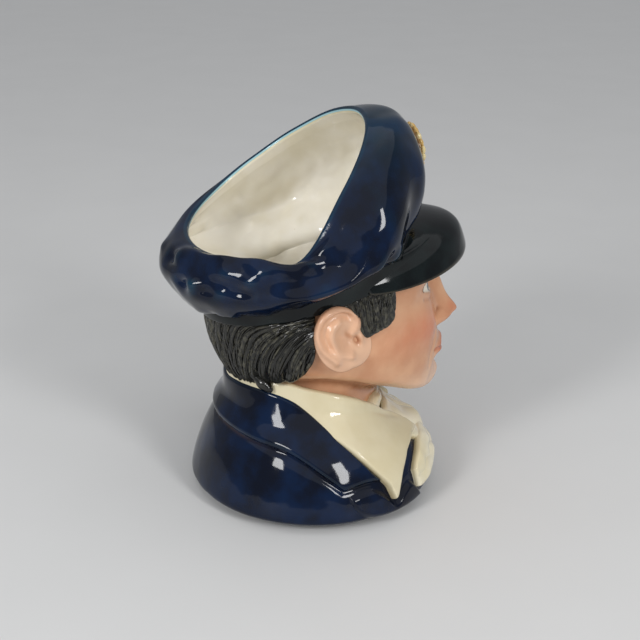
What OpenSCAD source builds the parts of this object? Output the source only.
// Character jug: a seaman's head and shoulders, with the open cap as the mouth of the jug.
// The face looks along -Y, the figure's left is +X, and the origin is the centre of the foot.

/* [Clay] */
// Gap filled by the slip that joins two sections
slip = 0.3; // [0.2:0.05:0.4]
// Bed of slip under the collars, which lie on a curved shoulder
bedding = 0.8; // [0.7:0.05:0.9]
// Wall of the cast vessel
vessel_wall = 2.6; // [2:0.1:3.2]
// Thickness of the vessel's floor
floor_t = 4; // [3:0.5:6]

/* [Foot] */
// Outer diameter of the ring that the jug rests on
foot_d = 94; // [84:1:98]
// Width of the ring
foot_w = 5; // [3:0.5:8]
// Height of the ring
foot_h = 3; // [2:0.5:4]

/* [Jacket] */
// Width across the shoulders
shoulder_w = 120; // [108:1:144]
// Reach of the chest in front of the axis
chest_y = 57; // [52:1:68]
// Reach of the back behind the axis
back_y = 55.5; // [50:0.5:66]
// Height of the hem above the table
hem_z = 0.8; // [0.5:0.1:1.5]
// Height of the neck seam at the sides
neck_z = 41; // [34:1:50]
// Width of the neck at its seam
neck_w = 67; // [60:1:70]
// Thickness of the jacket wall
jacket_wall = 4; // [3:0.5:5]
// Thickness of the turned jacket collar
collar_t = 2.6; // [1.5:0.1:3.5]
// Thickness of the lapels
lapel_t = 1.6; // [1:0.1:2.5]
// Thickness of the shirt collar
shirt_t = 2.2; // [1.5:0.1:3]
// Thickness of the cravat
cravat_t = 4; // [2.5:0.5:6]

/* [Head] */
// Height of the head from the neck seam to the cap band
head_h = 60; // [50:1:72]
// Width of the head above the ears
head_w = 85; // [76:1:102]
// Reach of the brow in front of the axis
brow_y = 58; // [52:1:66]
// Reach of the back of the head behind the axis
nape_y = 44.5; // [40:0.5:53]
// Thickness of the head wall
head_wall = 4.5; // [3.5:0.5:6]
// Height of the ear
ear_h = 27; // [22:1:32]
// Width of the ear
ear_w = 23; // [18:1:27]
// How far the ear stands out from the head
ear_out = 9; // [6:0.5:12]
// Thickness of the hair
hair_t = 3; // [2:0.5:4]

/* [Cap] */
// Height of the band under the crown
band_h = 6; // [4:0.5:9]
// How far the band stands out from the head
band_out = 2.8; // [2:0.1:4]
// Width of the crown
crown_w = 119; // [108:1:143]
// Reach of the crown in front of the axis
crown_front = 55; // [50:1:62]
// Reach of the crown behind the axis
crown_back = 66.5; // [60:0.5:80]
// Wall of the crown
crown_wall = 2.4; // [2:0.1:3.2]
// Height of the rim above the band at the back
rim_up = 15; // [13:0.5:20]
// Rise of the rim from the back to the front
rim_rise = 49; // [36:1:59]
// Width of the mouth
mouth_w = 95; // [84:1:100]
// Length of the mouth from front to back
mouth_d = 79; // [66:1:84]
// Reach of the mouth behind the axis
mouth_back = 55.3; // [50:0.1:58]
// How far the peak reaches past the band
peak_out = 14; // [10:1:18]
// Thickness of the peak
peak_t = 2.6; // [2:0.1:3.5]
// Diameter of the strap over the root of the peak
strap_d = 3.2; // [2.5:0.1:4]
// Width of the badge
badge_w = 23; // [16:1:28]
// Height of the badge
badge_h = 25; // [18:1:28]
// Thickness of the badge
badge_t = 3; // [2:0.5:4]

/* [Handle] */
// How far the handle reaches out from the axis
handle_x = 90; // [84:1:104]
// Height of the upper end of the handle above the cap band
handle_up = 5; // [2:0.5:8]
// Place of the handle behind the axis
handle_y = 22; // [16:1:28]
// Width of the grip, from front to back
grip_w = 17; // [13:1:22]
// Thickness of the grip
grip_t = 11; // [9:0.5:14]

/* [Hidden] */

NAVY = "midnightblue";
DARK = "#20262a";
CREAM = "#e6dec4";
FLESH = "#c99870";
HAIR = "#33332f";

// Heights of the seams at the sides of the head
band_z = neck_z + head_h;
cap_z = band_z + band_h;
// Slope and saddle of the two cap seams, which rise towards the front
cap_tilt = 0.29;
cap_saddle = 1;
// Points round a full ring section
around = 36;
// Distance over which a surface is probed for its normal
probe = 0.05;

// Stations of the surfaces: half width, front reach, back reach, height at the side, tilt, saddle
hs = shoulder_w/2;
hn = neck_w/2;
hh = head_w/2;
HEM = [hs - 9, chest_y - 8, back_y - 7.5, hem_z, 0, 0];
NECK = [hn, hn - 3, hn, neck_z, -0.2, 0];
// The bust, whose last two stations stand up round the neck as a bed for the collars
BUST = [
    [hs - 3, chest_y - 2.5, back_y - 2.5, 3.5, 0, 0],
    [hs, chest_y, back_y, 0.22*neck_z, 0, 0],
    [hs - 3, chest_y - 2, back_y - 4.5, 0.49*neck_z, -0.06, 0],
    [hs - 10, chest_y - 9, back_y - 13, 0.75*neck_z, -0.15, 0],
    [hn + 9.5, hn + 7.5, hn + 3.5, 0.92*neck_z, -0.22, 0],
    [hn + 3, hn, hn + 2.5, neck_z + 5, -0.28, 0],
    [hn - 0.2, hn - 3, hn + 0.5, neck_z + 16, -0.3, 0]];
// Station of the bust where the jacket turns in to the neck seam
at_shoulder = 4;
HEAD = [
    NECK,
    [hn - 2.5, hn - 4.5, hn - 2, neck_z + 0.15*head_h, -0.2, -2],
    [hn - 2, hn - 1.5, hn - 1.5, neck_z + 0.24*head_h, -0.17, -5],
    [hh - 4.5, brow_y - 4, nape_y - 11, neck_z + 0.28*head_h, -0.17, -7],
    [hh - 2, brow_y, nape_y - 6.5, neck_z + 0.37*head_h, -0.16, -6],
    [hh - 0.5, brow_y + 1, nape_y - 3, neck_z + 0.51*head_h, -0.12, -5],
    [hh, brow_y + 0.5, nape_y - 1, neck_z + 0.69*head_h, -0.05, -4],
    [hh, brow_y - 1, nape_y, neck_z + 0.87*head_h, 0.09, -2],
    [hh, brow_y - 1, nape_y, band_z, cap_tilt, cap_saddle]];
BAND = [for (z = [band_z + slip, cap_z])
    [hh + band_out, brow_y + band_out - 2, nape_y + hair_t + band_out - 0.5, z, cap_tilt, cap_saddle]];
CROWN_EDGE = [crown_w/2 - 7.5, crown_front - 2, crown_back - 8.5, cap_z + 2.7, 0.333, 3.7];
CROWN_WIDE = [crown_w/2, crown_front, crown_back, cap_z + 13.5, 0.289, 6.5];
// Share of the rim's rise at every 30 degrees from the front, with the pouring dip on the right
RIM_SHARE = [1, 0.92, 0.69, 0.41, 0.18, 0.05, 0, 0, 0.02, 0.03, 0.55, 0.89];

function narrower(s, d, lift = 0) = [s[0] - d, s[1] - d, s[2] - d, s[3] + lift, s[4], s[5]];
function deeper(s, d, front) = [s[0] - d, s[1] - d - front, s[2] - d, s[3], s[4], s[5]];
VESSEL = [
    [foot_d/2, foot_d/2, foot_d/2, foot_h + slip, 0, 0],
    narrower(BUST[1], jacket_wall), narrower(BUST[2], jacket_wall), narrower(BUST[3], jacket_wall + 1),
    narrower(BUST[4], jacket_wall + 2), narrower(NECK, head_wall), narrower(HEAD[1], head_wall - 0.5),
    narrower(HEAD[2], head_wall - 1), deeper(narrower(HEAD[3], head_wall, 5), 0.5, 8),
    deeper(narrower(HEAD[4], head_wall, 4), 0, 5), deeper(HEAD[5], head_wall, 4),
    deeper(HEAD[6], head_wall, 4), deeper(HEAD[7], head_wall, 4), deeper(HEAD[8], head_wall, 4),
    deeper(narrower(HEAD[8], head_wall - 1, band_h), 0, 5)];
// Places of the seams along the vessel, counted in stations
at_neck = 5;
at_band = 13;
at_cap = 14;
at_rim = 17;
// Levels that the vessel and the sections round it share, so that their faces run side by side
LEVELS = [0, 0.5, 1, 1.5, 2.25, 3, 4, 5, 6, 7, 8, 9, 10, 11.5, 13, 14, 14.7, 15.4, 16, 16.5, 17];
function levels(from, to) =
    [for (i = [len(LEVELS) - 1:-1:0]) if (LEVELS[i] >= from && LEVELS[i] <= to) LEVELS[i]];

// Point of one station loop at angle a, from the front towards the figure's left
function ring(s, a) =
    let (y = -(cos(a) > 0 ? s[1] : s[2])*cos(a))
    [s[0]*sin(a), y, s[3] - s[4]*y + s[5]*cos(2*a)];

// Smooth curve through the list p at place t, counted in its entries
function spline(p, t) =
    let (i = max(0, min(len(p) - 2, floor(t))), u = t - i, p1 = p[i], p2 = p[i + 1],
         p0 = p[max(i - 1, 0)], p3 = p[min(i + 2, len(p) - 1)])
    (2*p1 + (p2 - p0)*u + (2*p0 - 5*p1 + 4*p2 - p3)*u*u + (3*p1 - p0 - 3*p2 + p3)*u*u*u)/2;

// The same through a list that closes on itself
function round_spline(p, t) =
    let (n = len(p), i = floor(t), u = t - i, p0 = p[(i - 1 + n) % n], p1 = p[(i + n) % n],
         p2 = p[(i + 1 + n) % n], p3 = p[(i + 2 + n) % n])
    (2*p1 + (p2 - p0)*u + (2*p0 - 5*p1 + 4*p2 - p3)*u*u + (3*p1 - p0 - 3*p2 + p3)*u*u*u)/2;

function mix(a, b, t) = a + (b - a)*t;
function unit(v) = v/norm(v);
function bell(x, w) = exp(-x*x/(w*w));
function smooth(t) = let (u = max(0, min(1, t))) u*u*(3 - 2*u);
// Angle brought into -180 to 180
function turned(a) = a - 360*floor((a + 180)/360);

// Forms of the face: distance from the middle, height above the neck seam, half width, half height, push
BROWS = [[13, 62, 12, 4, 2]];
EYES = [[16, 55, 8.5, 5, -4], [16, 54.5, 6, 3.4, 3.4]];
NOSE = [[0, 56, 4, 6, 3.5], [0, 47, 4.5, 7, 7], [0, 38, 5.5, 6, 10], [0, 34.5, 5.5, 4, 4],
    [7, 33.5, 3.2, 3.2, 3.5]];
CHEEKS = [[22, 39, 9, 9, 2.4]];
MOUTH = [[0, 21, 13, 8, 3.5], [0, 23, 8, 2.4, 1.6], [0, 17.5, 8, 2.4, 2]];
CHIN = [[0, 12, 9, 3, -2.5], [0, 6, 10, 6, 4]];
FACE = concat(BROWS, EYES, NOSE, CHEEKS, MOUTH, CHIN);
function face_push(x, z) = sum([for (f = FACE)
    f[4]*bell(z - neck_z - f[1], f[3])*(f[0] == 0 ? bell(x, f[2]) : bell(abs(x) - f[0], f[2]))]);
function sum(v, i = 0) = i < len(v) ? v[i] + sum(v, i + 1) : 0;

// Soft folds of the crown: angle, place up the crown, half angle, half length, push
FOLDS = [
    [-150, 2, 14, 0.6, 1.6], [-128, 2.2, 12, 0.6, -1.4], [-100, 2, 16, 0.5, 1.6], [-62, 3, 11, 0.8, 2.2],
    [-40, 2.6, 9, 0.9, -1.8], [-20, 1.7, 12, 0.5, 1.5], [25, 2, 12, 0.8, 1.8], [55, 2.6, 10, 0.9, -1.8],
    [85, 2.2, 14, 0.7, 1.8], [120, 2, 13, 0.6, -1.4], [150, 2.2, 14, 0.6, 1.6]];
function fold_push(a, v) =
    sum([for (f = FOLDS) f[4]*bell(turned(a - f[0]), f[2])*bell(v - f[1], f[3])]);

// Plain surfaces of the sections, at angle a and place v
function bust_at(a, v) = ring(spline(BUST, v), a);
function head_base(a, v) = ring(spline(HEAD, v), a);
function head_at(a, v) =
    let (p = head_base(a, v))
    cos(a) < 0.1 ? p : p - [0, face_push(p[0], p[2])*smooth((cos(a) - 0.1)*2.5), 0];
function rim_at(a) =
    [mouth_w/2*sin(a), mouth_back - mouth_d/2 - mouth_d/2*cos(a),
     cap_z + rim_up + rim_rise*round_spline(RIM_SHARE, (a - 360*floor(a/360))/30)];
function crown_loops(a) =
    let (wide = ring(CROWN_WIDE, a), rim = rim_at(a), gap = [wide[0] - rim[0], wide[1] - rim[1], 0],
         crest = rim + 0.42*gap + [0, 0, 2 + 0.03*norm(gap)],
         shoulder = mix(wide, crest, 0.5) + 0.16*norm(gap)*(0.87*unit(gap) + [0, 0, 0.5]))
    [ring(narrower(BAND[1], 0, slip), a), ring(CROWN_EDGE, a), wide, shoulder, crest, rim];
function crown_base(a, v) = spline(crown_loops(a), v);
function crown_at(a, v) = let (f = fold_push(a, v)) crown_base(a, v) + f*[sin(a), -cos(a), 0];

// Unit normals that point out of the surfaces
function out(du, dv) = unit(cross(du, dv));
function normal(shape, a, v) =
    out(shape(a + probe, v) - shape(a - probe, v), shape(a, v + probe) - shape(a, v - probe));
function bust_out(a, v) = normal(function (a, v) bust_at(a, v), a, v);
function head_out(a, v) = normal(function (a, v) head_base(a, v), a, v);
function crown_out(a, v) = normal(function (a, v) crown_base(a, v), a, v);

// The vessel follows the plain sections below the cap, and the inside of the crown above it
function vessel_loops(a) =
    concat([for (s = VESSEL) ring(s, a)],
           [for (v = [2, 3, 5]) crown_base(a, v) - (crown_wall + slip)*crown_out(a, v)]);
function vessel_at(a, v) = spline(vessel_loops(a), v);
function vessel_out(a, v) =
    let (low = vessel_loops(a - 1), high = vessel_loops(a + 1), mid = vessel_loops(a),
         rise = spline(mid, min(v + probe, at_rim)) - spline(mid, max(v - probe, 0)))
    out(spline(high, v) - spline(low, v), rise);
// Face of a section towards the vessel, a slip gap clear of it
function lining(a, v) = vessel_at(a, v) + slip*vessel_out(a, v);

function steps(a, b, n) = [for (i = [0:n]) a + (b - a)*i/n];
ANGLES = [for (i = [0:around - 1]) i*360/around];
// The same with twice as many in front
FACE_ANGLES = [for (a = ANGLES) each cos(a + 1) > 0.2 ? [a, a + 180/around] : [a]];
FACE_LEVELS = concat([0, 1, 2, 2.5], steps(3, 8, 15));

// Solid through loops of equal even length: capped at both ends, or closed into a ring
// From row flip on, the quads are split along their other diagonal, to match a face beside them
module loft(rows, capped = true, flip = 1000) {
    n = len(rows[0]);
    m = len(rows);
    sides = [for (j = [0:m - (capped ? 2 : 1)]) for (i = [0:n - 1])
        let (next = (i + 1) % n, above = ((j + 1) % m)*n,
             a = j*n + i, b = j*n + next, c = above + next, d = above + i)
        each j < flip ? [[a, c, b], [a, d, c]] : [[a, d, b], [d, c, b]]];
    last = (m - 1)*n;
    caps = capped ? [for (i = [0:n/2 - 2])
        let (k = last + i, back = n - 2 - i)
        each [[i, i + 1, back], [i, back, back + 1],
              [k, last + back, k + 1], [k, last + back + 1, last + back]]] : [];
    polyhedron([for (r = rows) each r], concat(sides, caps));
}

// Section of a sheet: the underside from lo to hi, then the upper side back again
function leaf(under, upper) = concat(under, [for (i = [len(upper) - 1:-1:0]) upper[i]]);

module cast_vessel() {
    inside = [17, 16.6, 16, 15, 14, 12, 10, 8.5, 7, 5, 3, 1.5];
    function wall(v) = vessel_wall*mix(1, 0.5, smooth(v - at_rim + 1));
    outer = [for (v = LEVELS) [for (a = ANGLES) vessel_at(a, v)]];
    inner = [for (v = inside) [for (a = ANGLES) vessel_at(a, v) - wall(v)*vessel_out(a, v)]];
    floor_top = foot_h + slip + floor_t;
    base = [for (k = [0.94, 0.4]) [for (p = inner[len(inner) - 1]) [k*p[0], k*p[1], floor_top]]];
    color(CREAM) loft(concat(outer, inner, base));
}

module foot_rim() {
    color(CREAM) rotate_extrude($fn = 96)
        polygon([[foot_d/2 - foot_w, 0], [foot_d/2 - 1, 0], [foot_d/2, foot_h], [foot_d/2 - foot_w, foot_h]]);
}

module jacket_shoulders() {
    outer = [for (v = concat([0], steps(0.5, at_shoulder, 7))) [for (a = ANGLES) bust_at(a, v)]];
    inside = [for (v = levels(0.5, at_neck)) [for (a = ANGLES) lining(a, v)]];
    hem = [for (z = [foot_h + slip, hem_z]) [for (a = ANGLES)
        (foot_d/2 + slip)/cos(180/around)*[sin(a), -cos(a), 0] + [0, 0, z]]];
    ends = [for (s = [HEM, NECK]) [for (a = ANGLES) ring(s, a)]];
    rows = concat([ends[0]], outer, [ends[1]], inside, hem);
    color(NAVY) loft(rows, capped = false, flip = len(outer) + 2);
}

// Patch of a collar on its bed: knots of angle, lower place and upper place
module collar_patch(knots, rows, thick) {
    ends = len(knots) - 1;
    wide = 9;
    // The rows lie closer at the lower edge, where the shoulder curves most
    low_step = 0.6;
    columns = [for (i = [0:ends - 1]) each knots[i + 1][0] - knots[i][0] > wide ? [i, i + 0.5] : [i]];
    function edge(t, w) =
        (0.35 + 0.65*smooth(min(w, 1 - w)*rows*0.8))*(0.4 + 0.6*smooth(min(t, ends - t)*4));
    function lifted(k, v, h) = bust_at(k[0], v) + (bedding + h)*bust_out(k[0], v);
    loft([for (t = concat(columns, [ends]))
        let (k = spline(knots, t), across = [for (w = steps(0, 1, rows)) w*mix(low_step, 1, w)])
        leaf([for (w = across) lifted(k, mix(k[1], k[2], w), 0)],
             [for (w = across) lifted(k, mix(k[1], k[2], w), thick*edge(t, w))])]);
}
// Knots that also go round the other side, and knots on one side alone
function mirrored(knots) =
    concat(knots, [for (i = [len(knots) - 2:-1:0]) [360 - knots[i][0], knots[i][1], knots[i][2]]]);
function sided(knots, side) =
    side > 0 ? knots : [for (i = [len(knots) - 1:-1:0]) [-knots[i][0], knots[i][1], knots[i][2]]];

module jacket_collar() {
    knots = [[64, 1.72, 1.8], [70, 1.68, 2.4], [78, 1.65, 3.3], [84, 1.66, 3.78], [94, 2.3, 4.33],
        [108, 2.75, 5.05], [122, 3, 5.1], [141, 3, 4.95], [160, 2.97, 4.75], [180, 2.93, 4.6]];
    color(NAVY) collar_patch(mirrored(knots), 4, collar_t);
}

module lapel(side) {
    knots = [[53, 0.12, 0.3], [58, 0.3, 0.95], [64, 0.62, 1.5], [72, 1.05, 1.56], [80, 1.45, 1.55]];
    color(NAVY) collar_patch(sided(knots, side), 3, lapel_t);
}
module right_lapel() { lapel(-1); }
module left_lapel() { lapel(1); }

module shirt_collar() {
    knots = [[16, 3.1, 3.2], [22, 2.5, 3.7], [27, 2, 4.05], [33, 1.55, 4.3], [46, 0.55, 4.85], [50, 0.25, 5],
        [54, 0.8, 5.15], [68, 2.4, 5.55], [83, 3.85, 5.75], [100, 4.85, 5.93], [120, 5.25, 5.85],
        [140, 5.08, 5.45], [160, 4.88, 5.2], [180, 4.72, 5]];
    color(CREAM) collar_patch(mirrored(knots), 7, shirt_t);
}

module cravat() {
    knots = [[-24, 1.6, 2.2], [-14, 0.9, 3], [-7, 0.6, 4.5], [0, 1.2, 4.8], [7, 0.7, 4.5], [14, 1, 3],
        [22, 1.7, 2.3]];
    color(CREAM) collar_patch(knots, 7, cravat_t);
}

module head() {
    function lifted(p, v, seam) = p + [0, 0, v == seam ? slip : 0];
    outer = [for (v = FACE_LEVELS) [for (a = FACE_ANGLES) lifted(head_at(a, v), v, 0)]];
    inside = [for (v = levels(at_neck, at_band)) [for (a = FACE_ANGLES) lifted(lining(a, v), v, at_neck)]];
    color(FLESH) loft(concat(outer, inside), capped = false, flip = len(outer));
}

// Angle and station on a surface of the point whose coordinates i and j are given
function place(shape, i, j, ci, cj, a, v, n = 8) =
    n == 0 ? [a, v] :
    let (p = shape(a, v), da = shape(a + 0.5, v) - p, dv = 20*(shape(a, v + 0.05) - p),
         det = 2*(da[i]*dv[j] - dv[i]*da[j]), ei = ci - p[i], ej = cj - p[j])
    place(shape, i, j, ci, cj, a + (ei*dv[j] - ej*dv[i])/det, v + 2*(ej*da[i] - ei*da[j])/det, n - 1);

// Ear: rings from the middle of the base outwards, over the helix and into the hollow
module ear(side) {
    points = 20;
    middle_y = -1;
    middle_z = band_z - 14;
    lean = 0.16;
    // Shares of the outline of the rings on the head, and shares and heights of the rings above it
    under = [0.2, 0.6, 0.92];
    upper = [[1, 0.55], [0.97, 0.95], [0.84, 1], [0.7, 0.62], [0.5, 0.66], [0.34, 0.35], [0.16, 0.25]];
    plain_head = function (a, v) head_base(a, v);
    function outline(t) = [ear_w/2*sin(t)*(1 - 0.12*cos(t)), ear_h/2*cos(t) - 1.2*(1 - cos(t))*abs(sin(t))];
    function lifted(t, k, h) =
        let (o = k*outline(t), stand = mix(0.35, 1, smooth(1.2*(o[0]/ear_w + 0.5))),
             q = place(plain_head, 1, 2, middle_y + o[0] - lean*o[1], middle_z + o[1], side*95, 6))
        head_base(q[0], q[1]) + (slip + h*ear_out*stand)*head_out(q[0], q[1]);
    turn = [for (i = [0:points - 1]) -side*i*360/points];
    color(FLESH) loft(concat([for (k = under) [for (t = turn) lifted(t, k, 0)]],
                             [for (r = upper) [for (t = turn) lifted(t, r[0], r[1])]]));
}
module right_ear() { ear(-1); }
module left_ear() { ear(1); }

// Patch of hair on the head: knots of angle, lower place and upper place
module hair_patch(knots, count, rows, strands) {
    ends = len(knots) - 1;
    function thick(t, w) = hair_t*(0.25 + 0.75*smooth(w*rows*0.7))*(0.3 + 0.7*smooth(min(t, ends - t)*5))
        *(1 + 0.14*sin(strands*t + 200*w));
    function lifted(k, v, h) = head_base(k[0], v) + (slip + h)*head_out(k[0], v);
    loft([for (t = steps(0, ends, count))
        let (k = spline(knots, t), across = steps(0, 1, rows))
        leaf([for (w = across) lifted(k, mix(k[1], k[2], w), 0)],
             [for (w = across) lifted(k, mix(k[1], k[2], w), thick(t, w))])]);
}

module hair() {
    knots = [[108, 3.6, 7.7], [116, 3.35, 7.6], [130, 3.1, 7.4], [150, 3.1, 7.2], [180, 3.1, 7.1]];
    color(HAIR) hair_patch(mirrored(knots), 30, 7, 720);
}

module sideburn(side) {
    knots = [[58, 7, 7.5], [66, 6.2, 7.6], [73, 6.2, 7.75]];
    color(HAIR) hair_patch(sided(knots, side), 7, 5, 540);
}
module right_sideburn() { sideburn(-1); }
module left_sideburn() { sideburn(1); }

module cap_band() {
    outer = [for (s = BAND) [for (a = ANGLES) ring(s, a)]];
    inside = [for (k = [[at_cap, 0], [at_band, slip]]) [for (a = ANGLES) lining(a, k[0]) + [0, 0, k[1]]]];
    color(DARK) loft(concat(outer, inside), capped = false, flip = len(outer));
}

// Peak: from its root on the band to its edge, with a domed upper side
module cap_peak() {
    spread = 74;
    rows = 6;
    low = BAND[0];
    high = BAND[1];
    function root(s, w) = ring(narrower(mix(low, high, w), -slip), s*spread);
    function edge(s) =
        let (r = root(s, 0.3), reach = peak_out*pow(max(0, 1 - s*s), 0.6))
        r + reach*[0.25*sin(s*spread), -1, 0] + [0, 0, -8*max(0, 1 - s*s)];
    function upper(s, t) = mix(root(s, 0.97), edge(s), t) + [0, -1, 1.2]*2.2*sin(180*t)*(1 - s*s);
    function under(s, t) = mix(root(s, 0.35), edge(s) - [0, 0, 0.5*peak_t*(1 - 0.8*s*s)], t)
        + [0, -1, 1.2]*1.2*sin(180*t)*(1 - s*s);
    color(DARK) loft([for (s = steps(0.98, -0.98, 24))
        leaf([for (t = steps(0, 1, rows)) under(s, t)], [for (t = steps(0, 1, rows)) upper(s, t)])]);
}

module cap_crown() {
    outer = [for (v = concat([0, 0.6], steps(1, 5, 11))) [for (a = ANGLES) crown_at(a, v)]];
    function seam(v) = [0, 0, v == at_cap ? slip : 0];
    inside = [for (v = levels(at_cap, at_rim)) [for (a = ANGLES) lining(a, v) + seam(v)]];
    color(NAVY) loft(concat(outer, inside), capped = false, flip = len(outer));
}

// Strap: a round cord in the crease between the crown and the root of the peak
module cap_strap() {
    sides = 6;
    spread = 70;
    lie = 0.5;
    function centre(a) = crown_base(a, lie) + (slip + strap_d/2)*crown_out(a, lie);
    color(DARK) loft([for (a = steps(-spread, spread, 24))
        let (along = unit(centre(a + 1) - centre(a - 1)), up = crown_out(a, lie), across = cross(along, up))
        [for (i = [0:sides - 1]) let (t = -(i + 0.5)*360/sides)
            centre(a) + strap_d/2*(cos(t)*across + sin(t)*up)]]);
}

// Badge: an oval with a raised border and a domed field
module cap_badge() {
    points = 18;
    middle_z = cap_z + rim_up + 0.61*rim_rise;
    under = [0.25, 0.6, 0.95];
    upper = [[1, 0.5], [0.94, 1], [0.8, 1], [0.7, 0.45], [0.4, 0.75], [0.18, 0.95]];
    crown = function (a, v) crown_at(a, v);
    function lifted(t, k, h) =
        let (q = place(crown, 0, 2, k*badge_w/2*sin(t), middle_z + k*badge_h/2*cos(t), 0, 2.6))
        crown_at(q[0], q[1]) + (slip + h*badge_t)*crown_out(q[0], q[1]);
    turn = [for (i = [0:points - 1]) -i*360/points];
    color(CREAM) loft(concat([for (k = under) [for (t = turn) lifted(t, k, 0)]],
                             [for (r = upper) [for (t = turn) lifted(t, r[0], r[1])]]));
}

// Handle: an ear-shaped loop from the crown down to the shoulder
module handle() {
    points = 14;
    flare = 1.2;
    top = cap_z + handle_up;
    foot = 0.5*neck_z;
    half = (top - foot)/2;
    // Points of the loop: distance from the axis, height above or below the middle
    path = [[crown_w/2 - 2, half], [crown_w/2 + 12, half + 4], [handle_x - 3, 0.75*half],
            [handle_x, 0.3*half], [handle_x - 7, -0.25*half], [handle_x - 17, -0.65*half],
            [hs + 5, -0.92*half], [hs - 6, -half]];
    last = len(path) - 1;
    function centre(t) = let (p = spline(path, t)) [p[0], handle_y, foot + half + p[1]];
    function along(t) = unit(centre(min(t + probe, last)) - centre(max(t - probe, 0)));
    function swept(t) = let (d = along(t), n = [-d[2], 0, d[0]])
        [for (i = [0:points - 1]) let (c = i*360/points)
            centre(t) + grip_w/2*cos(c)*[0, 1, 0] + grip_t/2*sin(c)*n];
    // Ring of the end that lies against a surface
    function root(shape, t, up, k, a, v) = [for (i = [0:points - 1])
        let (c = i*360/points, q = place(shape, 1, 2, handle_y + k*flare*grip_w/2*cos(c),
                                         centre(t)[2] + up*k*flare*grip_t/2*sin(c), a, v))
        shape(q[0], q[1]) + [slip, 0, 0]];
    crown = function (a, v) crown_at(a, v);
    bust = function (a, v) bust_at(a, v);
    color(NAVY) loft(concat([for (k = [0.4, 0.75, 1]) root(crown, 0, 1, k, 110, 2)],
                            [for (t = steps(0.8, last - 0.8, 14)) swept(t)],
                            [for (k = [1, 0.75, 0.4]) root(bust, last, -1, k, 112, 2)]));
}

cast_vessel();
foot_rim();
jacket_shoulders();
jacket_collar();
right_lapel();
left_lapel();
shirt_collar();
cravat();
head();
right_ear();
left_ear();
hair();
right_sideburn();
left_sideburn();
cap_band();
cap_peak();
cap_strap();
cap_crown();
cap_badge();
handle();
